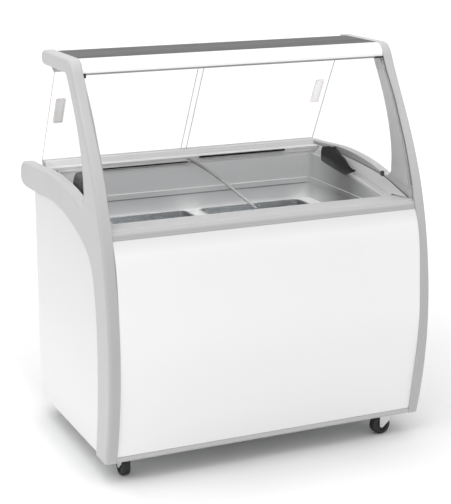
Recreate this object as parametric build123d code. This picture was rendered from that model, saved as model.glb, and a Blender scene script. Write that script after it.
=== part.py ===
from build123d import *
import os
from math import cos, radians, sin, tan

# A scoop-serving chest freezer: white cabinet between two grey side frames,
# curved glass in front, glass doors behind, curved sliding lids over six pans.
# Working frame, mm: x across, y from the foot of the front panel to the back,
# z up from the bottom edge of the front panel. export_all moves it to the row frame.

# ---- driving sizes ----
CLEAR_HALF = 488.5        # half the clear width between the side frames
FRAME_THICK = 34
FRAME_ROUND = 11
OUTER_HALF = CLEAR_HALF + FRAME_THICK
PANEL_HALF = 514.5        # outer face of the white side panels
SHEET = 1.2               # painted steel sheet
BASE = -16                # underside of the cabinet
FLOOR = -90
BODY_BACK = 646           # outer face of the back panel
MIDDLE_Y = 365            # middle of the whole depth

RAIL_TOP = 669
CANOPY_TOP = 1123
CANOPY_UNDER = 1078

# tub
TUB_HALF = 440
TUB_FRONT = 108
TUB_BACK = 605
TUB_CORNER = 20
PLATE_LEVEL = 558         # ledge that carries the pan plate
PLATE_THICK = 2.5
LOWER_HALF = 420
TUB_STEP = 280            # the tub floor steps up over the machinery
TUB_STEP_Y = 400
TUB_FLOOR = 110
RIB_LOW = 614
RIB_HIGH = 632
RIB_DEEP = 3.5

# pans
PAN_LONG = 362
PAN_WIDE = 148
PAN_DEEP = 120
PAN_WALL = 0.8
PAN_PITCH = 163
PAN_X = 207
PAN_CORNER = 24
PAN_ROWS = [519 - PAN_PITCH * i for i in range(3)]

# sliding lids: section of the lower lid's middle surface, front to back
LID_CURVE = [(106, 664), (200, 677.5), (330, 696), (474, 711), (560, 715.5), (614, 716)]
LID_GLASS = 4
LID_RISE = 11             # the right lid runs this much above the left one
LID_END = 470
SHELF_END = 456           # the rim frame is level with the lids up to here,
SLOPE_END = 479           # and slopes up from there
SEAL_GAP = 4.5            # joint between rim frame and side frame
LID_LAP = 10

# rear sliding doors, leaning forward from the rail to the canopy
DOOR_FOOT = (659, 753)
DOOR_LEAN = 27.8          # degrees from upright
DOOR_TALL = 355
DOOR_GLASS = 5
DOOR_GAP = 9
DOOR_END = 483

# machinery
BAY_FRONT = 428
BAY_TOP = 258
FAN_X = 120
FAN_Y = 545
FAN_Z = 108

# casters
CASTER_X = 442
CASTER_FRONT = 48
CASTER_BACK = 598
WHEEL_RADIUS = 31.5
WHEEL_WIDE = 26
TRAIL = 29
# name, x, y, direction in which the wheel trails, degrees from +x
CASTERS = [
    ("front_left", -CASTER_X, CASTER_FRONT, 90),
    ("front_right", CASTER_X, CASTER_FRONT, 180),
    ("rear_left", -CASTER_X, CASTER_BACK, 90),
    ("rear_right", CASTER_X, CASTER_BACK, 90),
]

PARTS = {}


# ---- helpers ----
def along_x(face, start, end):
    """A section drawn as (y, z), extruded from x = start to x = end."""
    return extrude(Plane.YZ.offset(start) * face, end - start)


def area(*edges):
    return make_face(Wire(list(edges)))


def poly(*points):
    return make_face(Polyline(*points, close=True))


def span(x, y, z):
    """A block given by its x, y and z ranges."""
    size = [b - a for a, b in (x, y, z)]
    middle = [(a + b) / 2 for a, b in (x, y, z)]
    return Pos(*middle) * Box(*size)


def rounded(x, y, z, radius):
    """A block with rounded upright corners."""
    plan = RectangleRounded(x[1] - x[0], y[1] - y[0], radius)
    return extrude(Pos((x[0] + x[1]) / 2, (y[0] + y[1]) / 2, z[0]) * plan, z[1] - z[0])


def raised(points, rise):
    return [(y, z + rise) for y, z in points]


def band(points, low, high):
    """The area between a curve moved by low and by high in z."""
    under, over = raised(points, low), raised(points, high)
    return area(
        Spline(*over),
        Line(over[-1], under[-1]),
        Spline(*under),
        Line(under[0], over[0]),
    )


def under_curve(points, floor):
    return area(
        Spline(*points),
        Line(points[-1], (points[-1][0], floor)),
        Line((points[-1][0], floor), (points[0][0], floor)),
        Line((points[0][0], floor), points[0]),
    )


def rod(start, end, radius):
    """A round bar between two points."""
    start, end = Vector(*start), Vector(*end)
    way = end - start
    return extrude(Plane(start, z_dir=way) * Circle(radius), way.length)


def other_side(shape):
    return mirror(shape, about=Plane.YZ)


def keep(name, shape):
    PARTS[name] = shape


# ---- side frames ----
FRAME_FRONT = [(0, -18), (-26, 91), (-48, 300), (-26, 549), (34, 755), (125, 932), (217, 1088)]
FRAME_UNDER = [
    (716, 657), (616, 660), (473, 667), (348, 657), (187, 613),
    (106, 561), (75, 479), (61, 300), (69, 152), (94, -18),
]
PILLAR_BACK = [(268, 1064), (205, 961), (164, 864), (147, 770)]
# directions in which the outline runs where two of its curves meet
AT_CANOPY = (0.47, 0.88)
AT_PILLAR_TOP = (-0.55, -0.84)
AT_PILLAR_FOOT = (-0.08, -1)
AT_ARM_FRONT = (1, 0.2)
AT_ARM_BACK = (1, -0.12)
AT_NOSE = (-1, 0)


def flow(points, start, end):
    """A smooth curve with set directions at both ends."""
    return Spline(*points, tangents=[start, end])


def frame_outline():
    arm_top = [(188, 714), (253, 729), (372, 746), (470, 751), (667, 742), (745, 738)]
    return area(
        flow(FRAME_FRONT, (-0.3, 1), AT_CANOPY),
        flow([(217, 1088), (234, 1111), (262, CANOPY_TOP)], AT_CANOPY, (1, 0)),
        Line((262, CANOPY_TOP), (485, CANOPY_TOP)),
        ThreePointArc((485, CANOPY_TOP), (507.5, 1100.5), (485, CANOPY_UNDER)),
        Line((485, CANOPY_UNDER), (292, CANOPY_UNDER)),
        flow([(292, CANOPY_UNDER), (277, 1073.5), (268, 1064)], (-1, 0), AT_PILLAR_TOP),
        flow(PILLAR_BACK, AT_PILLAR_TOP, AT_PILLAR_FOOT),
        flow([(147, 770), (156, 728), (188, 714)], AT_PILLAR_FOOT, AT_ARM_FRONT),
        flow(arm_top, AT_ARM_FRONT, AT_ARM_BACK),
        flow([(745, 738), (770, 720), (778, 692)], AT_ARM_BACK, (0, -1)),
        flow([(778, 692), (716, 657)], (0, -1), AT_NOSE),
        flow(FRAME_UNDER, AT_NOSE, (0.2, -1)),
        Line((94, -18), (0, -18)),
    )


def side_frame(blank):
    """The frame with its soft outer edge and slightly broken inner edge."""
    frame = fillet(rim_edges(blank, OUTER_HALF), FRAME_ROUND)
    return fillet(rim_edges(frame, CLEAR_HALF), 1.5)


def rim_edges(blank, x):
    return [e for e in blank.edges() if abs(e.center().X - x) < 0.001 and e.center().Z > -17]


def pillar_cover():
    """The inner lining of a pillar, behind the front glass."""
    front = [(37, 701), (84, 832), (155, 965), (236, 1078)]
    back = [(266, 1062), (203, 959), (162, 862), (145, 768), (146, 742)]
    return along_x(
        area(
            Spline(*front),
            Line(front[-1], (276, 1078)),
            Line((276, 1078), back[0]),
            Spline(*back),
            Line(back[-1], (120, 718)),
            Line((120, 718), front[0]),
        ),
        CLEAR_HALF - 3,
        CLEAR_HALF,
    )


# ---- cabinet ----
PANEL_CURVE = [(0, 0), (-27, 150), (-46, 324), (-39, 457), (-14, 612), (1, 644)]


def front_panel():
    inner = [(y + SHEET, z) for y, z in PANEL_CURVE]
    skin = area(
        Spline(*PANEL_CURVE),
        Line(PANEL_CURVE[-1], inner[-1]),
        Spline(*inner),
        Line(inner[0], PANEL_CURVE[0]),
    )
    return along_x(skin, -CLEAR_HALF + 0.4, CLEAR_HALF - 0.4)


def side_panel(frame_cut):
    sheet = span((PANEL_HALF - SHEET, PANEL_HALF), (55, BODY_BACK), (BASE, 668))
    lip = span((PANEL_HALF - 14, PANEL_HALF), (BODY_BACK - SHEET, BODY_BACK), (BASE, 655))
    return sheet + lip - frame_cut


def back_panel():
    half = PANEL_HALF - 14.5
    panel = span((-half, half), (BODY_BACK - SHEET, BODY_BACK), (BASE + 3, 644))
    slots = [
        Pos(x, BODY_BACK - 2, z) * Rot(X=-90) * extrude(SlotOverall(120, 7), 6)
        for x in (-300, -150, 0, 150, 300)
        for z in range(40, 221, 18)
    ]
    window = span((-388, -292), (BODY_BACK - 3, BODY_BACK + 1), (556, 604))
    return panel - Compound(children=slots) - window


def base_pan():
    half = PANEL_HALF - SHEET - 0.3
    pan = span((-half, half), (30, BODY_BACK - SHEET), (BASE, BASE + 3))
    cut = span((CLEAR_HALF, half), (29, 96), (BASE - 1, BASE + 4))
    return pan - cut - other_side(cut)


def bottom_trim():
    lip = area(
        Line((0, -1), (26, -1)),
        Line((26, -1), (26, -18)),
        Line((26, -18), (5, -18)),
        ThreePointArc((5, -18), (0.5, -16), (-1, -11)),
        Line((-1, -11), (0, -1)),
    )
    return along_x(lip, -CLEAR_HALF + 0.4, CLEAR_HALF - 0.4)


def front_rail():
    """The bullnose rail between the front panel and the tub."""
    shell = area(
        Line((1.5, 644.5), (4, 652)),
        ThreePointArc((4, 652), (11, 665), (26, RAIL_TOP + 2)),
        Line((26, RAIL_TOP + 2), (98, RAIL_TOP)),
        ThreePointArc((98, RAIL_TOP), (103, 667), (105, 661)),
        Line((105, 661), (105, 644.5)),
        Line((105, 644.5), (1.5, 644.5)),
    )
    rail = along_x(shell, -CLEAR_HALF + 0.4, CLEAR_HALF - 0.4)
    groove = poly((12.7, 665), (18.9, 665), (21.2, 676), (15, 676))
    return rail - along_x(groove, -CLEAR_HALF, CLEAR_HALF)


def tub_prism(half, front, back, low, radius, rise):
    """An upright rounded block whose top follows the lids."""
    top = [(y, z + rise) for y, z in [(90, 661.5)] + LID_CURVE[1:-1] + [(640, 716)]]
    return rounded((-half, half), (front, back), (low, 760), radius) & along_x(
        under_curve(top, low - 10), -half - 1, half + 1
    )


def liner_volume(grow):
    """The inside of the tub, grown by the thickness of the liner."""
    upper = tub_prism(
        TUB_HALF + grow, TUB_FRONT - grow, TUB_BACK + grow,
        PLATE_LEVEL - grow, TUB_CORNER + grow, -9,
    )
    x = (-LOWER_HALF - grow, LOWER_HALF + grow)
    front, corner = TUB_FRONT - grow, TUB_CORNER + grow
    lower = rounded(x, (front, TUB_BACK + grow), (TUB_STEP - grow, PLATE_LEVEL), corner)
    deep = rounded(x, (front, TUB_STEP_Y + grow), (TUB_FLOOR - grow, TUB_STEP), corner)
    return upper + lower + deep


def liner():
    shell = liner_volume(1) - liner_volume(0)
    outer = RectangleRounded(2 * TUB_HALF + 1, TUB_BACK - TUB_FRONT + 1, TUB_CORNER)
    inner = RectangleRounded(2 * (TUB_HALF - RIB_DEEP), TUB_BACK - TUB_FRONT - 2 * RIB_DEEP, TUB_CORNER - 5)
    rib = extrude(Pos(0, (TUB_FRONT + TUB_BACK) / 2, RIB_LOW) * (outer - inner), RIB_HIGH - RIB_LOW)
    return shell + rib


COIL_LEVELS = [310 + 42 * i for i in range(6)]


def evaporator():
    """Round tube wound round the tub, with two upright headers at the back."""
    loops = []
    middle = 5.5
    for level in COIL_LEVELS:
        path = Pos(0, (TUB_FRONT + TUB_BACK) / 2, level) * RectangleRounded(
            2 * (LOWER_HALF + middle), TUB_BACK - TUB_FRONT + 2 * middle, TUB_CORNER + middle
        )
        wire = path.face().outer_wire()
        profile = Plane(wire @ 0, z_dir=wire % 0) * Circle(4)
        loops.append(sweep(profile, wire))
    y = TUB_BACK + middle
    headers = [
        rod((x, y, COIL_LEVELS[0]), (x, y, COIL_LEVELS[-1]), 4) for x in (-260, 260)
    ]
    coil = loops[0]
    for extra in loops[1:] + headers:
        coil = coil + extra
    return coil


def insulation(frames_cut):
    """The foam between the skins, the tub and the machine bay."""
    skin = [(y + SHEET, z) for y, z in PANEL_CURVE]
    half = PANEL_HALF - SHEET
    section = area(
        Spline(*skin),
        Line(skin[-1], (BODY_BACK - SHEET, 644)),
        Line((BODY_BACK - SHEET, 644), (BODY_BACK - SHEET, BASE + 3)),
        Line((BODY_BACK - SHEET, BASE + 3), (30, BASE + 3)),
        Line((30, BASE + 3), (30, 0)),
        Line((30, 0), skin[0]),
    )
    foam = along_x(section, -half, half)
    foam = foam - frames_cut
    foam = foam - liner_volume(1)
    edge = span((CLEAR_HALF - 0.1, half + 1), (-100, 40), (BASE, 700))
    foam = foam - edge - other_side(edge)
    bay = span((-half - 1, half + 1), (BAY_FRONT, BODY_BACK), (BASE, BAY_TOP))
    foam = foam - bay
    side, front, back = LOWER_HALF + 10, TUB_FRONT - 10, TUB_BACK + 10
    pocket = rounded(
        (-side, side), (front, back), (COIL_LEVELS[0] - 6, COIL_LEVELS[-1] + 6), TUB_CORNER + 10
    )
    return foam - pocket


# upper edge of the rim frame along the side frame
RIM_LINE = [(38, 672), (107, 690), (182, 708), (260, 717.5), (343, 724), (515, 732.5), (646, 734)]
OVER_RAIL = ((400, 500), (0, 105.4), (600, 671.6))


def rim_frame():
    """The moulded surround of the tub: a shelf for the lids, sloping up to the side frame."""
    shelf_line = raised([(105.4, 664)] + LID_CURVE[1:-1] + [(646, 716)], -4)
    shelf_face, edge_face = under_curve(shelf_line, 645), under_curve(RIM_LINE, 645)
    shelf = along_x(shelf_face, TUB_HALF + 1, SHELF_END)
    slope = loft(
        [Plane.YZ.offset(SHELF_END) * shelf_face, Plane.YZ.offset(SLOPE_END) * edge_face], ruled=True
    )
    edge = along_x(edge_face, SLOPE_END, CLEAR_HALF - SEAL_GAP)
    side = shelf + slope + edge - span(*OVER_RAIL)
    side = side - liner_volume(1) - span((400, LID_END + 7.5), (606.2, 690), (700, 800))
    return side + other_side(side)


REAR_RAIL = [
    (607, 702), (607, 711.5), (616, 711.5), (616, 720.5), (609, 720.5), (609, 722.5),
    (616, 722.5), (616, 731), (612, 731), (612, 735), (646, 735), (648, 750), (651, 752),
]


def rear_rail():
    """The profile behind the tub: slots for the lids in front, door grooves on top."""
    outline = poly(*REAR_RAIL, (678, 752), (681, 749), (681, 702))
    rail = along_x(outline, -LID_END - 6, LID_END + 6)
    hollow = poly((622, 706), (622, 730), (652, 730), (652, 742), (677, 742), (677, 706))
    rail = rail - along_x(hollow, -LID_END, LID_END)
    for step in (0, 1):
        y = DOOR_FOOT[0] + step * DOOR_GAP / cos(radians(DOOR_LEAN))
        groove = poly((y - 4.6, 753), (y + 4.6, 753), (y + 6.4, 745), (y - 0.6, 745))
        rail = rail - along_x(groove, -LID_END - 7, LID_END + 7)
    return rail


def rear_deck():
    """The rounded shelf behind the doors, between the arms of the frames."""
    outer = area(
        Line((646.3, 657.5), (716, 657.5)),
        Spline((716, 657.5), (758, 666), (772, 688), (760, 706), (730, 714)),
        Line((730, 714), (684, 716)),
        Line((684, 716), (684, 700)),
        Line((684, 700), (646.3, 700)),
        Line((646.3, 700), (646.3, 657.5)),
    )
    inner = area(
        Line((650, 661), (715, 661)),
        Spline((715, 661), (754, 669), (768, 688), (757, 702), (729, 710.5)),
        Line((729, 710.5), (688, 712)),
        Line((688, 712), (688, 696)),
        Line((688, 696), (650, 696)),
        Line((650, 696), (650, 661)),
    )
    half = CLEAR_HALF - 0.4
    return along_x(outer, -half, half) - along_x(inner, -half + 3, half - 3)


# ---- canopy ----
def canopy_shell():
    """White housing: rounded fascia in front, tray on top, slope behind."""
    outer = area(
        Line((220, 1083), (222, 1094)),
        ThreePointArc((222, 1094), (235, 1113), (262, 1121)),
        Line((262, 1121), (266, 1121)),
        Line((266, 1121), (266, 1118)),
        Line((266, 1118), (455, 1118)),
        Line((455, 1118), (455, 1121)),
        Line((455, 1121), (470, 1119)),
        Line((470, 1119), (498, 1090)),
        Line((498, 1090), (495, 1088)),
        Line((495, 1088), (468, 1115)),
        Line((468, 1115), (262, 1115)),
        ThreePointArc((262, 1115), (239, 1109), (228, 1094)),
        Line((228, 1094), (226, 1083)),
        Line((226, 1083), (220, 1083)),
    )
    return along_x(outer, -CLEAR_HALF + 0.4, CLEAR_HALF - 0.4)


def canopy_top():
    panel = span((-CLEAR_HALF + 0.6, CLEAR_HALF - 0.6), (266.3, 454.7), (1118, 1122))
    grooves = [span((-500, 500), (y - 1, y + 1), (1121.2, 1123)) for y in range(285, 450, 20)]
    return panel - Compound(children=grooves)


def light_cover():
    """The diffuser that closes the canopy from below."""
    tray = poly(
        (229, 1080), (476, 1080), (476, 1088), (473.5, 1088), (473.5, 1082.5),
        (231.5, 1082.5), (231.5, 1088), (229, 1088),
    )
    return along_x(tray, -CLEAR_HALF + 6, CLEAR_HALF - 6)


def lamp():
    tube = rod((-430, 262, 1098), (430, 262, 1098), 8)
    ends = [span((s * 445 - 15, s * 445 + 15), (256, 276), (1086, 1112)) for s in (-1, 1)]
    return tube + ends[0] + ends[1]


def upper_track():
    """The grey profile under the back of the canopy with the door grooves."""
    outline = poly(
        door_point(343, -6), door_point(343, 15.5), door_point(366, 15.5),
        (499, 1087.8), (480, 1087.8), door_point(372, -6),
    )
    track = along_x(outline, -CLEAR_HALF + 0.4, CLEAR_HALF - 0.4)
    return track - door_channel()


def door_channel():
    """The two slanted grooves that guide the tops of the doors."""
    cut = None
    for step in (0, 1):
        pane = door_pane(step, DOOR_TALL - 14, DOOR_TALL + 3, 0.6)
        slot = along_x(pane, -600, 600)
        cut = slot if cut is None else cut + slot
    return cut


# ---- glass ----
GLASS_FOOT = [
    (13, 667.5), (23, 713), (43, 771), (70, 837), (105, 902), (141, 968), (186, 1033), (217.5, 1081),
]


def front_glass():
    inner = [(y + 5.6, z - 1.6) for y, z in GLASS_FOOT]
    pane = area(
        Spline(*GLASS_FOOT),
        Line(GLASS_FOOT[-1], inner[-1]),
        Spline(*inner),
        Line(inner[0], GLASS_FOOT[0]),
    )
    return along_x(pane, -CLEAR_HALF + 1.5, CLEAR_HALF - 1.5)


def glass_seal(side):
    """The dark strip between an end of the front glass and its side frame."""
    outer = [(y + 0.8, z) for y, z in GLASS_FOOT]
    inner = [(y + 6.4, z - 1.6) for y, z in GLASS_FOOT]
    top, low = outer[-1], outer[1]
    strip = area(
        Spline(*outer[1:]),
        Line(top, inner[-1]),
        Spline(*inner[1:]),
        Line(inner[1], low),
    )
    start = CLEAR_HALF - 1.4 if side > 0 else -CLEAR_HALF + 0.1
    return along_x(strip, start, start + 1.3)


PANE_X = 484              # middle of the side panes
PANE_LIFT = 3.6


def rim_seal():
    """The rubber strip that fills the joint between rim frame and side frame."""
    strip = along_x(band(RIM_LINE, -8, -0.4), CLEAR_HALF - SEAL_GAP + 0.1, CLEAR_HALF - 0.1)
    return strip - span(*OVER_RAIL)


def side_glass():
    """The pane that stands on the rim frame and fills the triangle under the canopy."""
    foot = raised([(646, 734), (515, 732.5), (343, 724), (260, 717.5), (196, 710)], PANE_LIFT)
    pane = area(
        Spline(*[(y + 3.5, z) for y, z in PILLAR_BACK[::-1]]),
        Line((271.5, 1064), (283, 1076)),
        Line((283, 1076), (479, 1076)),
        Line((479, 1076), (645, 766)),
        Line((645, 766), foot[0]),
        Spline(*foot),
        Line(foot[-1], (160, 737)),
        Line((160, 737), (150.5, 770)),
    )
    return along_x(pane, PANE_X - 2, PANE_X + 2)


def glass_clips():
    """Four small forked clips that stand on the rim frame and hold the side panes."""
    clips = []
    for y, z in ((196, 709.9), (512, 732.4)):
        block = span((PANE_X - 4.3, PANE_X + 4.3), (y - 5, y + 5), (z - 1, z + 15))
        block = block - along_x(under_curve(RIM_LINE, 645), PANE_X - 10, PANE_X + 10)
        slot = span((PANE_X - 2.1, PANE_X + 2.1), (y - 6, y + 6), (z + 3.2, z + 20))
        clips.append(block - slot)
        clips.append(other_side(block - slot))
    return Compound(children=clips)


# ---- rear doors ----
def door_point(along, out):
    """A point of the door plane as (y, z): distance up the slope and distance behind it."""
    lean = radians(DOOR_LEAN)
    y = DOOR_FOOT[0] - along * sin(lean) + out * cos(lean)
    z = DOOR_FOOT[1] + along * cos(lean) + out * sin(lean)
    return (y, z)


def door_pane(track, low, high, grow=0.0):
    near = track * DOOR_GAP - DOOR_GLASS / 2 - grow
    far = track * DOOR_GAP + DOOR_GLASS / 2 + grow
    corners = [(low, near), (high, near), (high, far), (low, far)]
    return poly(*[door_point(a, o) for a, o in corners])


def door_glass(track, x_range):
    foot = -5 - track * DOOR_GAP * tan(radians(DOOR_LEAN))
    return along_x(door_pane(track, foot, DOOR_TALL), *x_range)


def door_grip(track, x_middle):
    """A finger cup set on the pane: a rounded rim plate around a shallow hollow."""
    low, high = 148, 240
    y, z = door_point((low + high) / 2, track * DOOR_GAP - DOOR_GLASS / 2)
    lean = radians(DOOR_LEAN)
    place = Plane((x_middle, y, z), x_dir=(1, 0, 0), z_dir=(0, -cos(lean), -sin(lean)))
    plate = extrude(place * RectangleRounded(31, high - low, 6), 3)
    cup = extrude(place.offset(1.2) * RectangleRounded(22, high - low - 10, 4), 3)
    return plate - cup


# ---- lids ----
def lid_glass(rise, x_range):
    return along_x(band(LID_CURVE, rise - LID_GLASS / 2, rise + LID_GLASS / 2), *x_range)


def lid_edge(rise, x_range):
    """The slim profile along the meeting edge of a lid."""
    low = rise + LID_GLASS / 2
    strip = along_x(band(LID_CURVE, low, low + 2.4), *x_range)
    return strip & span(x_range, (112, 604), (600, 800))


def lid_strip(rise, x_range, tall):
    """The dark finger strip along the back of a lid."""
    level = 716.6 + rise + LID_GLASS / 2
    return rounded(x_range, (598, 605.5), (level, level + tall), 3.7)


def lid_handle(x_low, shift=0):
    """A hooded black grip leaning over the end of a lid, with a cut nose in front."""
    top = [(287, 713.5), (321, 716), (371, 730), (415, 737), (460, 743), (506, 748.5), (548, 742)]
    rear = [(548, 742), (522, 724), (506, 705)]
    under = [(506, 705), (425, 695), (345, 687)]
    side = area(
        Spline(*top),
        Spline(*rear),
        Spline(*under),
        Line((345, 687), (287, 710)),
        Line((287, 710), (287, 713.5)),
    )
    hood = Plane.XZ.offset(-550) * area(
        ThreePointArc((x_low, 680), (x_low + 8, 730), (x_low + 37, 748)),
        Line((x_low + 37, 748), (x_low + 37, 742)),
        ThreePointArc((x_low + 37, 742), (x_low + 13, 726), (x_low + 5, 680)),
        Line((x_low + 5, 680), (x_low, 680)),
    )
    grip = extrude(hood, 270) & along_x(side, x_low - 2, x_low + 40)
    return Pos(0, shift, 0) * grip


# ---- casters ----
MOUNT_THICK = 3
SWIVEL_LEVEL = BASE - MOUNT_THICK - 4
BOLT_SPOTS = [(x, y) for x in (-22, 22) for y in (-13, 13)]


def caster_mount():
    """Top plate with its raceway boss and four bolts."""
    low = BASE - MOUNT_THICK
    plate = rounded((-30, 30), (-20, 20), (low, BASE), 6)
    boss = Pos(0, 0, (SWIVEL_LEVEL + low) / 2) * Cylinder(17, low - SWIVEL_LEVEL)
    mount = plate + boss - Pos(0, 0, low) * Cylinder(6.05, 20)
    for x, y in BOLT_SPOTS:
        head = extrude(Pos(x, y, low - 4) * RegularPolygon(5.5, 6), 4)
        shank = Pos(x, y, low + 3) * Cylinder(3, 6)
        mount = mount + head + shank
    return mount


def caster_fork(angle):
    """Swivel fork with kingpin and axle; drawn trailing along +x, then turned."""
    axle_z = FLOOR + WHEEL_RADIUS
    top = SWIVEL_LEVEL - 0.4
    reach = WHEEL_WIDE / 2 + 1
    eye, far = 8, TRAIL + 8
    crown = span((-15, TRAIL + 34), (-reach - 2.4, reach + 2.4), (top - 2.4, top))
    cap = Pos(0, 0, top - 1.2) * Cylinder(17, 2.4)
    pin = Pos(0, 0, top + 2) * Cylinder(6, 8)
    low_x, low_z = TRAIL - eye * cos(radians(45)), axle_z - eye * sin(radians(45))
    cheek = Plane.XZ.offset(-reach - 2.4) * area(
        Line((-7, top), (far, top)),
        Line((far, top), (far, axle_z)),
        ThreePointArc((far, axle_z), (TRAIL, axle_z - eye), (low_x, low_z)),
        Line((low_x, low_z), (5, axle_z + 11)),
        Line((5, axle_z + 11), (-7, top)),
    )
    cheek = extrude(cheek, 2.4)
    axle = Pos(TRAIL, 0, axle_z) * Rot(X=90) * Cylinder(3.5, 2 * reach + 8)
    fork = crown + cap + pin + cheek + mirror(cheek, about=Plane.XZ) + axle
    return Rot(Z=angle) * fork


def caster_wheel(angle):
    tyre = Cylinder(WHEEL_RADIUS, WHEEL_WIDE)
    tyre = fillet(tyre.edges().filter_by(GeomType.CIRCLE), 5)
    for side in (-1, 1):
        tyre = tyre - Pos(0, 0, side * WHEEL_WIDE / 2) * (Cylinder(20, 6) - Cylinder(9, 6))
    tyre = tyre - Cylinder(3.55, WHEEL_WIDE + 2)
    return Rot(Z=angle) * Pos(TRAIL, 0, FLOOR + WHEEL_RADIUS) * Rot(X=90) * tyre


# ---- pans ----
def pan_plate():
    y = (TUB_FRONT + 1, TUB_BACK - 1)
    z = (PLATE_LEVEL, PLATE_LEVEL + PLATE_THICK)
    plate = rounded((-TUB_HALF + 1, TUB_HALF - 1), y, z, TUB_CORNER - 1)
    long, wide = PAN_LONG / 2 + 2, PAN_WIDE / 2 + 2
    for x in (-PAN_X, PAN_X):
        for v in PAN_ROWS:
            plate = plate - rounded((x - long, x + long), (v - wide, v + wide), (550, 570), PAN_CORNER + 2)
    return plate


def pan(x, y):
    """A steel pan hanging by its rim."""
    half_long, half_wide = PAN_LONG / 2, PAN_WIDE / 2
    top = PLATE_LEVEL + PLATE_THICK + 0.1
    rim = rounded((x - half_long - 7, x + half_long + 7), (y - half_wide - 7, y + half_wide + 7),
                  (top, top + PAN_WALL), PAN_CORNER + 7)
    body = rounded((x - half_long, x + half_long), (y - half_wide, y + half_wide),
                   (top - PAN_DEEP, top + 0.2), PAN_CORNER)
    body = fillet(body.edges().group_by(Axis.Z)[0], 10)
    wall = PAN_WALL
    inner_long, inner_wide = half_long - wall, half_wide - wall
    hollow = rounded((x - inner_long, x + inner_long), (y - inner_wide, y + inner_wide),
                     (top - PAN_DEEP + wall, top + 5), PAN_CORNER - wall)
    hollow = fillet(hollow.edges().group_by(Axis.Z)[0], 10 - wall)
    return rim + body - hollow


# ---- machinery ----
BAY_FLOOR = BASE + 3


def compressor():
    x, y = -300, 540
    can = Pos(x, y, BAY_FLOOR + 78) * Cylinder(68, 96)
    can = fillet(can.edges().filter_by(GeomType.CIRCLE), 24)
    band_ring = Pos(x, y, BAY_FLOOR + 82) * Cylinder(70, 5)
    foot = rounded((x - 92, x + 92), (y - 62, y + 62), (BAY_FLOOR + 14, BAY_FLOOR + 18), 12)
    stem = Pos(x, y, BAY_FLOOR + 25) * Cylinder(40, 22)
    body = can + band_ring + foot + stem
    for dx in (-78, 78):
        for dy in (-48, 48):
            body = body + Pos(x + dx, y + dy, BAY_FLOOR + 9) * Cylinder(10, 18)
    box = span((x + 60, x + 92), (y - 30, y + 30), (BAY_FLOOR + 60, BAY_FLOOR + 112))
    return body + box


def condenser():
    """Finned tube block behind the fan."""
    x, y, z = (160, 226), (448, 636), (BAY_FLOOR, 222)
    frame = span(x, (y[0], y[0] + 3), z) + span(x, (y[1] - 3, y[1]), z)
    frame = frame + span(x, y, (z[0], z[0] + 3)) + span(x, y, (z[1] - 3, z[1]))
    fins = [span((x[0] + 4, x[1] - 4), (v, v + 1), (z[0] + 2, z[1] - 2)) for v in range(456, 632, 8)]
    tubes = [
        rod((u, y[0] - 6, v), (u, y[1] + 5, v), 4)
        for u in (176, 193, 210) for v in range(14, 210, 32)
    ]
    block = frame
    for piece in fins + tubes:
        block = block + piece
    return block


def fan_housing():
    """Ring plate, motor and bracket."""
    plate = span((146, 149), (450, 634), (BAY_FLOOR, 222))
    plate = plate - Pos(147, FAN_Y, FAN_Z) * Rot(Y=90) * Cylinder(88, 10)
    ring = Pos(136, FAN_Y, FAN_Z) * Rot(Y=90) * (Cylinder(91, 26) - Cylinder(88, 30))
    motor = Pos(62, FAN_Y, FAN_Z) * Rot(Y=90) * Cylinder(30, 60)
    shaft = Pos(108, FAN_Y, FAN_Z) * Rot(Y=90) * Cylinder(3, 40)
    arm = span((56, 68), (FAN_Y - 5, FAN_Y + 5), (BAY_FLOOR + 3, FAN_Z - 20))
    foot = span((40, 149), (FAN_Y - 25, FAN_Y + 25), (BAY_FLOOR, BAY_FLOOR + 3))
    return plate + ring + motor + shaft + arm + foot


def fan_blades():
    hub = Pos(112, FAN_Y, FAN_Z) * Rot(Y=90) * Cylinder(22, 22)
    blade = Pos(112, 0, 52) * Rot(Z=28) * Box(3, 46, 68)
    fan = hub
    for i in range(5):
        fan = fan + Pos(0, FAN_Y, FAN_Z) * Rot(X=72 * i) * blade
    ring_room = Pos(112, FAN_Y, FAN_Z) * Rot(Y=90) * Cylinder(85, 60)
    return (fan & ring_room) - Pos(112, FAN_Y, FAN_Z) * Rot(Y=90) * Cylinder(3.05, 60)


# ---- controls on the back panel ----
CONTROL_X = -340
CONTROL_Z = 580
KNOB_X = CONTROL_X - 22
ROCKER_X = CONTROL_X + 24


def control_box():
    x, z = CONTROL_X, CONTROL_Z
    box = span((x - 45, x + 45), (613, BODY_BACK + 0.2), (z - 21, z + 21))
    box = box - span((x - 42, x + 42), (616, 650), (z - 18, z + 18))
    face = span((x - 52, x + 52), (BODY_BACK + 0.2, BODY_BACK + 3), (z - 28, z + 28))
    face = face - span((ROCKER_X - 10, ROCKER_X + 10), (640, 660), (CONTROL_Z - 15, CONTROL_Z + 15))
    shaft = Pos(KNOB_X, BODY_BACK + 4, CONTROL_Z) * Rot(X=90) * Cylinder(3, 20)
    pins = [
        Pos(ROCKER_X + s * 9.5, BODY_BACK + 1.6, CONTROL_Z) * Rot(Y=90) * Cylinder(0.9, 4)
        for s in (-1, 1)
    ]
    return box + face + shaft + pins[0] + pins[1]


def knob():
    body = Pos(KNOB_X, BODY_BACK + 10, CONTROL_Z) * Rot(X=90) * Cylinder(14, 12)
    y, z = BODY_BACK + 14, CONTROL_Z
    ridge = span((KNOB_X - 2, KNOB_X + 2), (y, y + 5), (z - 13, z + 13))
    return body + ridge - Pos(KNOB_X, BODY_BACK + 5, CONTROL_Z) * Rot(X=90) * Cylinder(3.05, 20)


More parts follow.
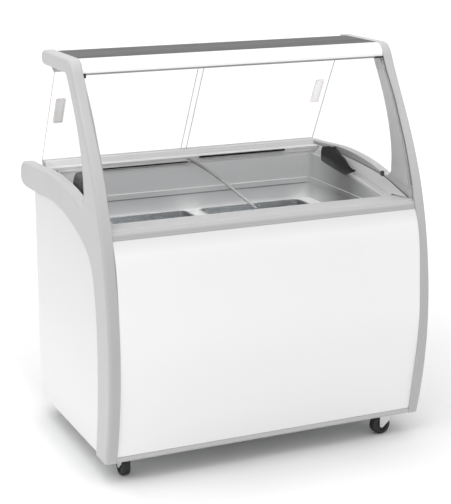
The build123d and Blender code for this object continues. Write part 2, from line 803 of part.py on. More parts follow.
def rocker():
    y = BODY_BACK
    side = poly(
        (y - 4, CONTROL_Z - 11), (y + 4.2, CONTROL_Z - 13), (y + 3.4, CONTROL_Z),
        (y + 5.6, CONTROL_Z + 13), (y - 4, CONTROL_Z + 11),
    )
    body = along_x(side, ROCKER_X - 8.5, ROCKER_X + 8.5)
    return body - Pos(ROCKER_X, y + 1.6, CONTROL_Z) * Rot(Y=90) * Cylinder(0.95, 40)


def power_cord():
    """The lead, looped once and hung on the back panel, with its plug."""
    loops = Pos(400, BODY_BACK + 6, 330) * Rot(X=90) * Torus(62, 3.8)
    loops = loops + Pos(400, BODY_BACK + 13, 330) * Rot(X=90) * Torus(62, 3.8)
    lead = rod((338, BODY_BACK + 0.3, 330), (338, BODY_BACK + 16, 330), 3.8)
    hook = span((390, 410), (BODY_BACK + 0.1, BODY_BACK + 24), (380, 389))
    plug = rod((462, BODY_BACK + 14, 330), (462, BODY_BACK + 14, 285), 13)
    return loops + lead + hook + plug


# ---- the whole machine ----
def build_cabinet():
    blank = along_x(frame_outline(), CLEAR_HALF, OUTER_HALF)
    frame = side_frame(blank)
    both = blank + other_side(blank)
    keep("side_frame_right", frame)
    keep("side_frame_left", other_side(frame))
    keep("pillar_covers", pillar_cover() + other_side(pillar_cover()))
    keep("front_panel", front_panel())
    keep("front_rail", front_rail())
    keep("bottom_trim", bottom_trim())
    panel = side_panel(blank)
    keep("side_panel_right", panel)
    keep("side_panel_left", other_side(panel))
    keep("back_panel", back_panel())
    control_room = span(
        (CONTROL_X - 46, CONTROL_X + 46), (612, BODY_BACK + 1), (CONTROL_Z - 22, CONTROL_Z + 22)
    )
    keep("insulation", insulation(both) - control_room)
    keep("liner", liner())
    keep("evaporator_coil", evaporator())
    keep("rim_frame", rim_frame())
    keep("rear_rail", rear_rail())
    keep("rear_deck", rear_deck())
    keep("control_box", control_box())
    keep("thermostat_knob", knob())
    keep("light_switch", rocker())
    keep("power_cord", power_cord())


def build_canopy():
    keep("canopy_shell", canopy_shell())
    keep("canopy_top", canopy_top())
    keep("light_cover", light_cover())
    keep("lamp", lamp())
    keep("upper_track", upper_track())
    keep("front_glass", front_glass())
    strips = [glass_seal(1), glass_seal(-1), rim_seal(), other_side(rim_seal())]
    keep("glass_seals", Compound(children=strips))
    keep("side_glass_right", side_glass())
    keep("side_glass_left", other_side(side_glass()))
    keep("glass_clips", glass_clips())


def build_lids():
    left = (-LID_END + 18, LID_LAP)
    right = (-LID_LAP, LID_END - 18)
    notch = span((432, 480), (282, 545), (600, 800))
    below = along_x(under_curve(raised(LID_CURVE, LID_GLASS / 2 + 0.1), 600), -500, -400)
    left_grip = lid_handle(-450, -60) - below
    keep("lid_left_glass", lid_glass(0, left))
    keep("lid_left_edge", lid_edge(0, (LID_LAP - 9, LID_LAP)))
    keep("lid_left_handle", left_grip + lid_strip(0, (-322, -10), 3.5))
    keep("lid_right_glass", lid_glass(LID_RISE, right) - notch)
    keep("lid_right_edge", lid_edge(LID_RISE, (-LID_LAP, -LID_LAP + 9)))
    keep("lid_right_handle", lid_handle(434.5) + lid_strip(LID_RISE, (32, 344), 5.5))


def build_doors():
    keep("door_left_glass", door_glass(0, (-DOOR_END, 10)))
    keep("door_left_grip", door_grip(0, -451))
    keep("door_right_glass", door_glass(1, (-5, DOOR_END)))
    keep("door_right_grip", door_grip(1, 448))


def build_pans():
    keep("pan_plate", pan_plate())
    for i, y in enumerate(PAN_ROWS):
        keep(f"pan_left_{i + 1}", pan(-PAN_X, y))
        keep(f"pan_right_{i + 1}", pan(PAN_X, y))


def build_machinery():
    keep("compressor", compressor())
    keep("condenser", condenser())
    keep("fan_housing", fan_housing())
    keep("fan_blades", fan_blades())


def build_casters():
    mounts = None
    pan_sheet = base_pan()
    for name, x, y, angle in CASTERS:
        mount = Pos(x, y, 0) * caster_mount()
        mounts = mount if mounts is None else mounts + mount
        keep(f"caster_fork_{name}", Pos(x, y, 0) * caster_fork(angle))
        keep(f"caster_wheel_{name}", Pos(x, y, 0) * caster_wheel(angle))
        for dx, dy in BOLT_SPOTS:
            pan_sheet = pan_sheet - Pos(x + dx, y + dy, BASE) * Cylinder(3.2, 20)
    keep("caster_mounts", mounts)
    keep("base_pan", pan_sheet)


def export_all():
    os.makedirs("parts", exist_ok=True)
    for name, shape in PARTS.items():
        placed = Pos(0, -MIDDLE_Y, -FLOOR) * shape
        export_step(placed, f"parts/{name}.step")


build_cabinet()
build_canopy()
build_lids()
build_doors()
build_pans()
build_machinery()
build_casters()
export_all()
print(len(PARTS), "parts")
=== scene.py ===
import math

import bmesh
import bpy
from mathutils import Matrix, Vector


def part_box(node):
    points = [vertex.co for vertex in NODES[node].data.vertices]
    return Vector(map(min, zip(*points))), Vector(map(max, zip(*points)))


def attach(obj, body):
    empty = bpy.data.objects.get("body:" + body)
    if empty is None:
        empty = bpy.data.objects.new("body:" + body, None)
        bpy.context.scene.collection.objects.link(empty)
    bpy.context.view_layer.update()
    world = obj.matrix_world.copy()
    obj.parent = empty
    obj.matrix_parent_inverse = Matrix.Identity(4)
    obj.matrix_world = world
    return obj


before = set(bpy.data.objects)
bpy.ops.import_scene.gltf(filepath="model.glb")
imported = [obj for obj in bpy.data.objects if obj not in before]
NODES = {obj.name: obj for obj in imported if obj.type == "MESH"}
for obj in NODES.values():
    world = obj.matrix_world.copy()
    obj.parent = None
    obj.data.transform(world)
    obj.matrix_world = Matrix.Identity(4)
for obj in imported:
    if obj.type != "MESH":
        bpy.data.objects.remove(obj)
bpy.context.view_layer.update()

SCENE = bpy.context.scene
MM = 0.001

# ---- the view and the light ----
CAMERA_AT = (-1.788, -4.018, 1.741)
CAMERA_TURN = 24.22            # degrees to the right of straight ahead
CAMERA_DIP = 15.0              # degrees below the horizon
CAMERA_LENS = 102.9
FLOOR_SIZE = 60.0
SKY_SIDE = 0.76                # brightness of the surroundings at the horizon
SKY_TOP = 1.50                 # and straight above
FLOOR_SHADE = 0.90
FLOOR_GLOW = 0.20              # lifts the floor to white away from the machine
KEY_AT = (-1.7, -1.8, 4.8)     # the soft light above, to the left and in front
KEY_SIZE = (3.0, 3.0)
KEY_POWER = 60
CLEAR_LAYERS = 24              # glass faces that light may cross: lids, front glass, doors

# ---- places on the machine ----
DOOR_LEAN = 27.8               # lean of the rear doors from upright, in degrees
RIB_TOP = 0.722                # height of the upper edge of the tub's rib
SHAFT_REACH = 0.011            # how far the knob's shaft stands out of the control panel

# ---- tones used more than once ----
FRAME_LIGHT = (0.50, 0.497, 0.50, 1)
FRAME_DARK = (0.485, 0.482, 0.486, 1)
PANEL_WHITE = 0.80
RUBBER_BLACK = 0.03
GLASS_TINT = 0.99              # share of the light that one face of a pane lets through


# ---- shader building blocks ----
class Shader:
    """A principled material and short ways of adding nodes to it."""

    def __init__(self, name):
        self.material = bpy.data.materials.new(name)
        self.material.use_nodes = True
        self.tree = self.material.node_tree
        self.surface = self.tree.nodes["Principled BSDF"]
        self.output = self.tree.nodes["Material Output"]
        self.place = self.tree.nodes.new("ShaderNodeTexCoord").outputs["Object"]

    def add(self, kind, settings=None, inputs=None):
        node = self.tree.nodes.new("ShaderNode" + kind)
        for key, value in (settings or {}).items():
            setattr(node, key, value)
        for key, value in (inputs or {}).items():
            self.set(node.inputs[key], value)
        return node

    def set(self, socket, value):
        if isinstance(value, bpy.types.NodeSocket):
            self.tree.links.new(value, socket)
        else:
            socket.default_value = value

    def give(self, **inputs):
        """Sets inputs of the surface; underscores in the names stand for spaces."""
        for key, value in inputs.items():
            self.set(self.surface.inputs[key.replace("_", " ")], value)

    def noise(self, scale, detail=3.0, stretch=(1, 1, 1), roughness=0.5):
        mapping = self.add("Mapping", None, {"Vector": self.place, "Scale": stretch})
        inputs = {"Vector": mapping.outputs[0], "Scale": scale, "Detail": detail, "Roughness": roughness}
        return self.add("TexNoise", None, inputs).outputs[0]

    def spread(self, value, low, high, start=0.3, end=0.7):
        """Maps the range start to end of a value to the range low to high."""
        inputs = {"Value": value, "From Min": start, "From Max": end, "To Min": low, "To Max": high}
        return self.add("MapRange", None, inputs).outputs[0]

    def math(self, operation, first, second=0.0, clamp=False):
        settings = {"operation": operation, "use_clamp": clamp}
        return self.add("Math", settings, {0: first, 1: second}).outputs[0]

    def blend(self, share, first, second):
        settings = {"data_type": "RGBA"}
        node = self.add("Mix", settings, {0: share})
        self.set(node.inputs[6], first)
        self.set(node.inputs[7], second)
        return node.outputs[2]

    def bump(self, height, depth, strength=1.0, under=None):
        inputs = {"Height": height, "Distance": depth, "Strength": strength}
        if under is not None:
            inputs["Normal"] = under
        return self.add("Bump", None, inputs).outputs[0]

    def base(self):
        """The colour that the surface has so far."""
        return self.surface.inputs["Base Color"].links[0].from_socket

    def along(self, axis):
        """The position along an axis, in metres."""
        return self.add("SeparateXYZ", None, {0: self.place}).outputs[axis]

    def from_level(self, axis, level):
        """The distance from a level on an axis."""
        return self.math("ABSOLUTE", self.math("SUBTRACT", self.along(axis), level))

    def facing(self, axis):
        """The part of the surface's direction that lies along an axis, -1 to 1."""
        normal = self.add("NewGeometry").outputs["Normal"]
        return self.add("SeparateXYZ", None, {0: normal}).outputs[axis]

    def near(self, value, level, reach):
        """1 where a value is within reach of a level, else 0."""
        return self.add("Math", {"operation": "COMPARE"}, {0: value, 1: level, 2: reach}).outputs[0]

    def facing_front(self):
        return self.math("MULTIPLY", self.facing("Y"), -1.0, clamp=True)

    def edges(self):
        """About 1 on outer edges and 0 on flat ground."""
        point = self.add("NewGeometry").outputs["Pointiness"]
        return self.spread(point, 0.0, 1.0, 0.52, 0.60)


def grey(value):
    return (value, value, value, 1.0)


def scaled(colour, factor):
    return tuple(min(1.0, c * factor) for c in colour[:3]) + (1.0,)


def moulded(name, colour, dark, rough, grain=0.00002, coat=0.0, grain_scale=900.0, front=1.0, top=1.0):
    """Moulded or painted skin: slow colour drift, fine grain, soft edges and rubbed corners.

    The factors front and top scale the colour of the surfaces that face that way: painted shade where a
    factor is below 1, painted light where it is above 1.
    """
    s = Shader(name)
    drift = s.spread(s.noise(2.3, 2.0), 0.0, 1.0)
    base = s.blend(drift, colour, dark)
    base = s.blend(s.spread(s.noise(grain_scale * 0.3, 2.0), 0.0, 0.5), base, dark)
    # painted shade and painted light on the surfaces that face the front and up
    if front != 1.0:
        base = s.blend(s.facing_front(), base, scaled(colour, front))
    if top != 1.0:
        base = s.blend(s.math("MAXIMUM", s.facing("Z"), 0.0), base, scaled(colour, top))
    rubbed = s.math("MULTIPLY", s.edges(), 0.2, clamp=True)
    base = s.blend(rubbed, base, scaled(colour, 1.12))
    smudge = s.spread(s.noise(9.0, 3.0), rough * 0.95, rough * 1.08)
    soft = s.add("Bevel", {"samples": 4}, {"Radius": 1.2 * MM}).outputs[0]
    normal = s.bump(s.noise(grain_scale, 2.0), grain, 1.0, soft)
    s.give(Base_Color=base, Roughness=smudge, Normal=normal, Coat_Weight=coat, Coat_Roughness=0.12)
    return s


def metal(name, colour, dark, rough, stretch, scale=220.0, depth=0.00002, metallic=1.0):
    """Brushed or rolled metal: fine lines along one direction, cloudy roughness."""
    s = Shader(name)
    lines = s.noise(scale, 4.0, stretch, 0.6)
    clouds = s.spread(s.noise(5.0, 3.0), 0.0, 1.0)
    base = s.blend(clouds, colour, dark)
    base = s.blend(s.spread(lines, 0.0, 0.35), base, dark)
    base = s.blend(s.math("MULTIPLY", s.edges(), 0.4, clamp=True), base, grey(0.85))
    gloss = s.math("ADD", s.spread(lines, rough * 0.8, rough * 1.15), s.spread(clouds, -0.03, 0.04, 0, 1))
    soft = s.add("Bevel", {"samples": 4}, {"Radius": 0.7 * MM}).outputs[0]
    normal = s.bump(lines, depth, 1.0, soft)
    s.give(Base_Color=base, Metallic=metallic, Roughness=gloss, Normal=normal)
    return s


# ---- materials ----
def white_panel():
    """Gloss white powder coat with a faint orange peel.

    Painted light makes it a little lighter near the floor. The front sheet has a painted shadow under
    the rail, and the side sheets have painted shade towards their top.
    """
    s = moulded("white_panel", grey(PANEL_WHITE), grey(0.794), 0.3, 0.000002, 0.1, 90.0)
    height = s.along("Z")
    # painted light: a little lighter near the floor
    base = s.blend(s.spread(height, 0.0, 1.0, 0.15, 0.75), scaled(grey(PANEL_WHITE), 1.07), s.base())
    front_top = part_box("front_panel")[1].z
    # painted shadow under the rail on the front sheet
    painted_rail_shadow = s.spread(height, 0.0, 0.17, front_top - 0.04, front_top)
    base = s.blend(s.math("MULTIPLY", s.facing_front(), painted_rail_shadow), base, grey(0.0))
    # painted shade on the side sheets, stronger towards their top
    sideways = s.math("ABSOLUTE", s.facing("X"))
    painted_top_shade = s.spread(height, 0.06, 0.19, 0.15, 0.70)
    base = s.blend(s.math("MULTIPLY", sideways, painted_top_shade), base, grey(0.0))
    s.give(Base_Color=base)
    return s.material


def white_moulding():
    return moulded("white_moulding", grey(0.93), grey(0.92), 0.3, 0.000002, 0.1, 90.0).material


def grey_moulding():
    """Light grey satin plastic of the frames and rails, with painted shade on front faces, painted light on
    top faces, and painted light making it a little lighter near the floor.
    """
    s = moulded("grey_moulding", FRAME_LIGHT, FRAME_DARK, 0.38, 0.00002, front=0.80, top=1.18)
    # painted light: a little lighter near the floor
    s.give(Base_Color=s.blend(s.spread(s.along("Z"), 0.10, 0.0, 0.05, 0.6), s.base(), grey(1.0)))
    return s.material


def rail_moulding():
    """The same plastic on the front rail, with strong painted shade on its front-facing bull nose and painted
    light on its top.
    """
    return moulded("rail_moulding", FRAME_LIGHT, FRAME_DARK, 0.42, 0.00002, front=0.56, top=1.12).material


def rear_moulding():
    """The same plastic on the rear rail, painted lighter, with more painted light on faces that look to the
    front and up.
    """
    # painted light: lighter tones than the plastic of the frames
    light, dark = (0.66, 0.657, 0.66, 1), (0.62, 0.617, 0.621, 1)
    return moulded("rear_moulding", light, dark, 0.4, 0.00002, front=1.3, top=1.3).material


def lid_profile():
    """The edge profile of a lid, dull, with painted shade making it darker towards the back."""
    s = moulded("lid_profile", grey(0.45), grey(0.42), 0.4, 0.00002)
    # painted shade, growing towards the back
    back = s.spread(s.along("Y"), 0.0, 0.85, -0.2, 0.2)
    base = s.blend(back, grey(0.45), grey(0.11))
    s.give(Base_Color=base)
    return s.material


def dark_panel():
    """Ribbed dark plastic, streaked along its ribs."""
    s = moulded("dark_panel", grey(0.10), grey(0.085), 0.5, 0.00004)
    streaks = s.spread(s.noise(60.0, 3.0, (0.01, 1, 1)), 0.0, 1.0, 0.45, 0.75)
    s.give(Base_Color=s.blend(streaks, grey(0.085), grey(0.16)))
    return s.material


def tub_skin():
    """Satin coated aluminium of the tub, rolled across; painted shade darkens its end walls.

    The rib has a painted highlight on its upper edge and a painted shadow line below it; the strip above
    the pan plate has a painted reflection of the plate and glows a little as painted light; the end walls
    have painted shade in the middle and painted reflection lighter towards their ends.
    """
    light, dark = (0.80, 0.803, 0.806, 1), (0.76, 0.763, 0.766, 1)
    s = metal("tub_skin", light, dark, 0.45, (0.12, 1, 1), 160.0, 0.00001, 0.15)
    height = s.along("Z")
    # painted reflection of the bright pan plate on the strip above it
    low = s.spread(height, 1.0, 0.0, RIB_TOP - 0.075, RIB_TOP - 0.018)
    base = s.blend(low, s.base(), grey(0.95))
    # painted highlight along the rib's upper edge
    base = s.blend(s.near(height, RIB_TOP, 1.6 * MM), base, grey(1.0))
    # painted shadow line under the rib
    base = s.blend(s.near(height, RIB_TOP - 0.019, 2.2 * MM), base, grey(0.30))
    # painted shade and painted reflection on the end walls: darker in the middle, lighter towards their ends
    ends = s.math("MULTIPLY", s.math("ABSOLUTE", s.facing("X")), 0.92)
    painted_end_shading = s.blend(s.spread(s.from_level("Y", -0.01), 0.0, 1.0, 0.03, 0.20), grey(0.15), grey(0.62))
    s.give(Base_Color=s.blend(ends, base, painted_end_shading))
    # painted light: the strip above the plate glows a little
    s.give(Emission_Color=grey(1.0), Emission_Strength=s.math("MULTIPLY", low, 0.05))
    return s.material


def plate_steel():
    """The satin sheet that the pans hang in; it glows a little, to look fully lit inside the tub."""
    light, dark = (0.95, 0.955, 0.96, 1), (0.90, 0.905, 0.91, 1)
    s = metal("plate_steel", light, dark, 0.4, (0.05, 1, 1), 300.0, 0.00001, 0.1)
    s.give(Emission_Color=grey(1.0), Emission_Strength=0.22)
    return s.material


def pan_steel():
    """Polished steel, brushed across; painted shade darkens its end walls."""
    light, dark = (0.90, 0.93, 0.945, 1), (0.80, 0.83, 0.85, 1)
    s = metal("pan_steel", light, dark, 0.26, (0.04, 1, 1), 420.0, 0.00002, 0.8)
    # painted shade on the end walls
    ends = s.math("MULTIPLY", s.math("ABSOLUTE", s.facing("X")), 0.8)
    s.give(Base_Color=s.blend(ends, s.base(), grey(0.25)))
    return s.material


def zinc_steel():
    light, dark = (0.66, 0.67, 0.68, 1), (0.5, 0.51, 0.52, 1)
    return metal("zinc_steel", light, dark, 0.3, (1, 1, 1), 60.0).material


def bright_metal():
    light, dark = (0.72, 0.72, 0.73, 1), (0.55, 0.55, 0.56, 1)
    return metal("bright_metal", light, dark, 0.12, (1, 0.2, 1), 300.0).material


def fin_aluminium():
    light, dark = (0.72, 0.73, 0.74, 1), (0.6, 0.61, 0.62, 1)
    return metal("fin_aluminium", light, dark, 0.3, (1, 1, 0.1), 300.0).material


def copper():
    light, dark = (0.72, 0.36, 0.2, 1), (0.5, 0.24, 0.13, 1)
    return metal("copper", light, dark, 0.3, (1, 1, 1), 90.0).material


def black_metal():
    return moulded("black_metal", grey(0.025), grey(0.015), 0.35, 0.00004, 0.2).material


def black_plastic():
    """Black plastic with a fine spark-eroded grain."""
    s = moulded("black_plastic", grey(0.010), grey(0.006), 0.6, 0.00004, 0.0, 600.0)
    s.give(Specular_IOR_Level=0.06)
    return s.material


def black_rubber():
    return moulded("black_rubber", grey(RUBBER_BLACK), grey(0.02), 0.65, 0.00005).material


def seal_rubber():
    """Black rubber; the upper part of the left seal is lighter."""
    s = moulded("seal_rubber", grey(RUBBER_BLACK), grey(0.02), 0.65, 0.00005)
    upper = s.spread(s.along("Z"), 0.0, 1.0, 0.74, 0.80)
    left = s.math("LESS_THAN", s.along("X"), 0.0)
    s.give(Base_Color=s.blend(s.math("MULTIPLY", upper, left), grey(RUBBER_BLACK), grey(0.55)))
    return s.material


def channel():
    """Grey rubber of the glass channel."""
    return moulded("channel", grey(0.26), grey(0.22), 0.6, 0.00003).material


def wheel_rubber():
    """Scuffed black tyre with a dusty tread."""
    s = Shader("wheel_rubber")
    scuffs = s.spread(s.noise(120.0, 5.0), 0.0, 1.0, 0.45, 0.75)
    base = s.blend(scuffs, grey(0.012), grey(0.035))
    s.give(Base_Color=base, Roughness=s.spread(scuffs, 0.5, 0.8, 0, 1), Normal=s.bump(s.noise(700.0), 0.0001))
    return s.material


def foam():
    """Pale rigid foam, pitted."""
    s = Shader("foam")
    pits = s.noise(400.0, 4.0)
    base = s.blend(s.spread(pits, 0, 1), (0.66, 0.64, 0.58, 1), (0.55, 0.53, 0.47, 1))
    s.give(Base_Color=base, Roughness=0.9, Normal=s.bump(pits, 0.001))
    return s.material


def diffuser(name="diffuser", glow=0.2, walls=None, light=0.86):
    """Milky plastic that lets some light through.

    On a panel that leans by walls degrees, the faces that stand out of it are darker.
    """
    s = Shader(name)
    cloud = s.spread(s.noise(20.0), 0.0, 1.0)
    base = s.blend(cloud, grey(light), grey(light - 0.06))
    if walls is not None:
        upright = s.math("MULTIPLY", s.facing("Z"), math.sin(math.radians(walls)))
        level = s.math("MULTIPLY", s.facing("Y"), math.cos(math.radians(walls)))
        flat = s.math("ABSOLUTE", s.math("ADD", upright, level))
        base = s.blend(s.spread(flat, 1.0, 0.0, 0.5, 0.9), base, grey(0.22))
    s.give(Base_Color=base, Roughness=s.spread(s.noise(60.0), 0.25, 0.4))
    s.give(Subsurface_Weight=0.2, Normal=s.bump(s.noise(900.0), 0.00002))
    s.give(Emission_Color=grey(1.0), Emission_Strength=glow)
    return s.material


def glass(name, edge, ends="X", shine=1.0, solid=0.8):
    """Clear pane: mirrors the room a little, and shows its ground edges as grey lines.

    The ground edges are the faces that look along the axis named by ends.
    """
    s = Shader(name)
    smear = s.spread(s.noise(6.0, 4.0), 0.01, 0.05)
    gloss = s.add("BsdfGlossy", None, {"Color": grey(1.0), "Roughness": smear}).outputs[0]
    clear = s.add("BsdfTransparent", None, {"Color": grey(GLASS_TINT)}).outputs[0]
    glance = s.add("LayerWeight", None, {"Blend": 0.5}).outputs["Facing"]
    mirror = s.math("ADD", s.math("MULTIPLY", s.math("POWER", glance, 5.0), 0.5 * shine), 0.02 * shine)
    pane = s.add("MixShader", None, {0: mirror, 1: clear, 2: gloss}).outputs[0]
    ground = s.add("BsdfDiffuse", None, {"Color": edge, "Roughness": 0.5}).outputs[0]
    rim = s.add("MixShader", None, {0: solid, 1: clear, 2: ground}).outputs[0]
    on_rim = s.math("GREATER_THAN", s.math("ABSOLUTE", s.facing(ends)), 0.7)
    both = s.add("MixShader", None, {0: on_rim, 1: pane, 2: rim}).outputs[0]
    s.tree.links.new(both, s.output.inputs[0])
    return s.material


# ---- pieces built here ----
def finished(name, mesh):
    """Turns a bmesh into an object of the scene."""
    data = bpy.data.meshes.new(name)
    mesh.to_mesh(data)
    mesh.free()
    piece = bpy.data.objects.new(name, data)
    SCENE.collection.objects.link(piece)
    return piece


def dress(piece, material):
    """Fixes a new piece to the cabinet and gives it its finish."""
    piece.data.materials.append(bpy.data.materials[material])
    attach(piece, "cabinet")


def add_screw(mesh, at, radius):
    """A socket head screw on a sheet that faces the back: a low dome with a hexagon hole."""
    dome = [(1.0, 0.0), (1.0, 0.25), (0.85, 0.5), (0.6, 0.62)]
    hole_width, hole_ends = 0.42, (0.62, 0.1)
    spokes = 24
    turns = [360 * i / spokes for i in range(spokes)]
    rings = [[(reach, height, turn) for turn in turns] for reach, height in dome]
    rings += [[(hexagon(turn) * hole_width, height, turn) for turn in turns] for height in hole_ends]
    loops = []
    for ring in rings:
        loops.append([
            mesh.verts.new((
                at[0] + radius * reach * math.cos(math.radians(turn)),
                at[1] + radius * height,
                at[2] + radius * reach * math.sin(math.radians(turn)),
            ))
            for reach, height, turn in ring
        ])
    for low, high in zip(loops, loops[1:]):
        for i in range(spokes):
            mesh.faces.new((low[i - 1], low[i], high[i], high[i - 1]))
    mesh.faces.new(loops[-1])


def hexagon(turn):
    """The reach of a hexagon, whose flats lie 1 from its middle, in a direction in degrees."""
    return 1 / math.cos(math.radians((turn % 60) - 30))


def back_screws():
    """The screws that hold the back panel and the control panel."""
    low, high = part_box("back_panel")
    left, right = low.x + 11 * MM, high.x - 11 * MM
    heights = [low.z + (high.z - low.z) * share for share in (0.03, 0.36, 0.66, 0.975)]
    spots = [(x, z) for x in (left, right) for z in heights]
    spots += [(x, z) for x in (left / 3, right / 3) for z in (heights[0], heights[-1])]
    mesh = bmesh.new()
    for x, z in spots:
        add_screw(mesh, (x, high.y, z), 4 * MM)
    low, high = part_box("control_box")
    for x in (low.x + 5 * MM, high.x - 5 * MM):
        add_screw(mesh, (x, high.y - SHAFT_REACH, (low.z + high.z) / 2), 3 * MM)
    bmesh.ops.recalc_face_normals(mesh, faces=mesh.faces)
    dress(finished("back_panel_screws", mesh), "bright_metal")


def bar(name, x_from, x_to, section):
    """A straight strip along x with the given outline in (y, z)."""
    mesh = bmesh.new()
    ends = [[mesh.verts.new((x, y, z)) for y, z in section] for x in (x_from, x_to)]
    for i in range(len(section)):
        mesh.faces.new((ends[0][i - 1], ends[0][i], ends[1][i], ends[1][i - 1]))
    for end in ends:
        mesh.faces.new(end)
    bmesh.ops.recalc_face_normals(mesh, faces=mesh.faces)
    return finished(name, mesh)


def lip(y, z, deep, tall, corner):
    """A section hanging from z, from deep in front of y to a little behind it, with rounded lower corners."""
    front, rear = y - deep, y + 2 * MM
    points = [(front, z), (rear, z)]
    for middle, start in ((rear - corner, 0), (front + corner, -90)):
        for step in range(5):
            turn = math.radians(start - 22.5 * step)
            points.append((middle + corner * math.cos(turn), z - tall + corner + corner * math.sin(turn)))
    return points


def canopy_seals():
    """The strip that grips the upper edge of the front glass, and two black end pieces that stand in for the
    shadow at its ends.
    """
    low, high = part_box("canopy_shell")
    y, z = low.y, low.z + 0.4 * MM
    strip = bar("glass_channel", low.x + 8 * MM, high.x - 30 * MM, lip(y, z, 4 * MM, 4.5 * MM, 1.5 * MM))
    dress(strip, "channel")
    # black pieces at the strip's ends, standing in for the shadow there
    shadow_end = bar("channel_end_shadow_left", low.x, low.x + 8 * MM, lip(y, z, 4.5 * MM, 13 * MM, 2 * MM))
    dress(shadow_end, "black_rubber")
    shadow_end = bar("channel_end_shadow_right", high.x - 30 * MM, high.x, lip(y, z, 4.5 * MM, 6 * MM, 2 * MM))
    dress(shadow_end, "black_rubber")


def glass_foot_strip():
    """The filler that closes the slot in the front rail around the foot of the glass."""
    low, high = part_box("front_rail")
    y, z = low.y, high.z
    section = [
        (y + 10.8 * MM, z - 4.9 * MM), (y + 11.4 * MM, z - 3.9 * MM), (y + 14.5 * MM, z - 2.2 * MM),
        (y + 18.5 * MM, z - 0.9 * MM), (y + 20.2 * MM, z - 1.2 * MM), (y + 18.0 * MM, z - 4.0 * MM),
    ]
    strip = bar("glass_foot_strip", low.x, high.x, section)
    dress(strip, "rail_moulding")


# ---- putting materials on the CAD nodes ----
def coat(names, material):
    """Gives CAD nodes a material in place of the ones they came with."""
    for name in names:
        node = NODES[name]
        node.data.materials.clear()
        node.data.materials.append(material)


GROUPS = {
    white_panel: ["front_panel", "side_panel_left", "side_panel_right", "back_panel"],
    white_moulding: ["canopy_shell"],
    grey_moulding: [
        "side_frame_left", "side_frame_right", "pillar_covers", "bottom_trim", "rim_frame", "rear_deck",
        "upper_track",
    ],
    rail_moulding: ["front_rail"],
    rear_moulding: ["rear_rail"],
    lid_profile: ["lid_left_edge", "lid_right_edge"],
    dark_panel: ["canopy_top"],
    tub_skin: ["liner"],
    foam: ["insulation"],
    plate_steel: ["pan_plate"],
    pan_steel: [f"pan_{side}_{i}" for side in ("left", "right") for i in (1, 2, 3)],
    copper: ["evaporator_coil"],
    diffuser: ["light_cover", "lamp"],
    black_plastic: [
        "control_box", "thermostat_knob", "light_switch", "fan_blades", "lid_left_handle", "lid_right_handle",
    ],
    black_rubber: ["power_cord"],
    seal_rubber: ["glass_seals"],
    zinc_steel: ["caster_mounts", "base_pan"],
    black_metal: ["compressor", "fan_housing", "glass_clips"],
    fin_aluminium: ["condenser"],
}
CORNERS = ("front_left", "front_right", "rear_left", "rear_right")


def coat_everything():
    """Every CAD node gets its material; each kind of pane and each door grip has its own."""
    for maker, names in GROUPS.items():
        coat(names, maker())
    coat([f"caster_fork_{c}" for c in CORNERS], bpy.data.materials["zinc_steel"])
    coat([f"caster_wheel_{c}" for c in CORNERS], wheel_rubber())
    channel()
    # painted shade: the left grip is a darker copy with no glow; painted light: the right grip glows
    coat(["door_left_grip"], diffuser("shaded_grip", 0.0, DOOR_LEAN, 0.77))
    coat(["door_right_grip"], diffuser("painted_lit_grip", 0.25, DOOR_LEAN))
    coat(["front_glass"], glass("front_glass", grey(0.35), shine=0.4))
    side_pane = glass("side_glass", grey(0.5), ends="Z", shine=0.6, solid=0.2)
    coat(["side_glass_left", "side_glass_right"], side_pane)
    coat(["door_left_glass", "door_right_glass"], glass("door_glass", grey(0.32)))
    coat(["lid_left_glass", "lid_right_glass"], glass("lid_glass", grey(0.4), shine=0.25, solid=0.1))


# ---- studio ----
def make_world():
    """Pale surroundings, brighter above; seen directly they are pale grey at the horizon, not dark."""
    world = bpy.data.worlds.new("studio")
    SCENE.world = world
    world.use_nodes = True
    tree = world.node_tree
    tree.nodes.clear()
    place = tree.nodes.new("ShaderNodeTexCoord")
    split = tree.nodes.new("ShaderNodeSeparateXYZ")
    tree.links.new(place.outputs["Generated"], split.inputs[0])
    height = tree.nodes.new("ShaderNodeMapRange")
    height.inputs["To Min"].default_value = SKY_SIDE
    height.inputs["To Max"].default_value = SKY_TOP
    tree.links.new(split.outputs["Z"], height.inputs["Value"])
    eye = tree.nodes.new("ShaderNodeLightPath")
    lift = tree.nodes.new("ShaderNodeMath")
    lift.operation = "MAXIMUM"
    tree.links.new(eye.outputs["Is Camera Ray"], lift.inputs[0])
    tree.links.new(height.outputs[0], lift.inputs[1])
    background = tree.nodes.new("ShaderNodeBackground")
    tree.links.new(lift.outputs[0], background.inputs["Strength"])
    output = tree.nodes.new("ShaderNodeOutputWorld")
    tree.links.new(background.outputs[0], output.inputs[0])


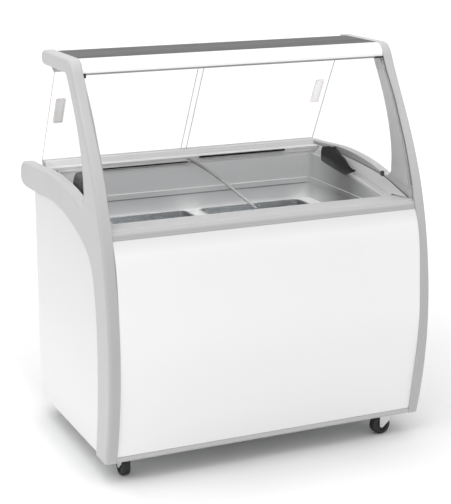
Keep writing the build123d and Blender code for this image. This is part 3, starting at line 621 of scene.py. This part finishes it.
def make_floor():
    """A plain floor, lifted towards white far away, with painted light on the left and a painted shadow close
    in front.
    """
    mesh = bpy.data.meshes.new("floor")
    half = FLOOR_SIZE / 2
    corners = [(-half, -half, 0), (half, -half, 0), (half, half, 0), (-half, half, 0)]
    mesh.from_pydata(corners, [], [(0, 1, 2, 3)])
    floor = bpy.data.objects.new("floor", mesh)
    SCENE.collection.objects.link(floor)
    s = Shader("floor")
    cloud = s.spread(s.noise(0.6), FLOOR_SHADE, FLOOR_SHADE + 0.01)
    colour = s.add("CombineColor", None, {0: cloud, 1: cloud, 2: cloud}).outputs[0]
    away = s.add("VectorMath", {"operation": "LENGTH"}, {0: s.place}).outputs["Value"]
    far = s.spread(away, 0.0, FLOOR_GLOW, 1.2, 3.0)
    # painted light on the floor to the left
    left = s.spread(s.along("X"), FLOOR_GLOW * 0.8, 0.0, -0.64, -0.44)
    # painted shadow on the floor close in front of the machine
    near_front = s.spread(s.from_level("Y", -0.42), 0.11, 0.0, 0.05, 0.22)
    near_middle = s.spread(s.from_level("X", 0.1), 1.0, 0.0, 0.2, 0.5)
    painted_contact_shadow = s.math("MULTIPLY", near_front, near_middle)
    s.give(Base_Color=s.blend(painted_contact_shadow, colour, grey(0.0)), Roughness=1.0, Specular_IOR_Level=0.0)
    s.give(Emission_Color=grey(1.0), Emission_Strength=s.math("MAXIMUM", far, left))
    floor.data.materials.append(s.material)


def soft_light(name, at, target, size, power):
    """A large rectangular light that looks at a target; the camera does not see it."""
    data = bpy.data.lights.new(name, "AREA")
    data.shape = "RECTANGLE"
    data.size, data.size_y = size
    data.energy = power
    light = bpy.data.objects.new(name, data)
    light.location = at
    way = Vector(target) - Vector(at)
    light.rotation_mode = "QUATERNION"
    light.rotation_quaternion = way.to_track_quat("-Z", "Y")
    SCENE.collection.objects.link(light)
    light.visible_camera = False


def make_camera():
    data = bpy.data.cameras.new("camera")
    data.lens = CAMERA_LENS
    data.sensor_width = 36.0
    data.clip_start, data.clip_end = 0.1, 200.0
    camera = bpy.data.objects.new("camera", data)
    camera.location = CAMERA_AT
    camera.rotation_euler = (math.radians(90 - CAMERA_DIP), 0, math.radians(-CAMERA_TURN))
    SCENE.collection.objects.link(camera)
    SCENE.camera = camera


def make_studio():
    """World, floor, camera and light; the light may cross both lids and the front glass."""
    SCENE.cycles.transparent_max_bounces = CLEAR_LAYERS
    make_world()
    make_floor()
    make_camera()
    soft_light("key", KEY_AT, (0, 0, 0.5), KEY_SIZE, KEY_POWER)
    SCENE.view_settings.view_transform = "Standard"


coat_everything()
back_screws()
canopy_seals()
glass_foot_strip()
make_studio()
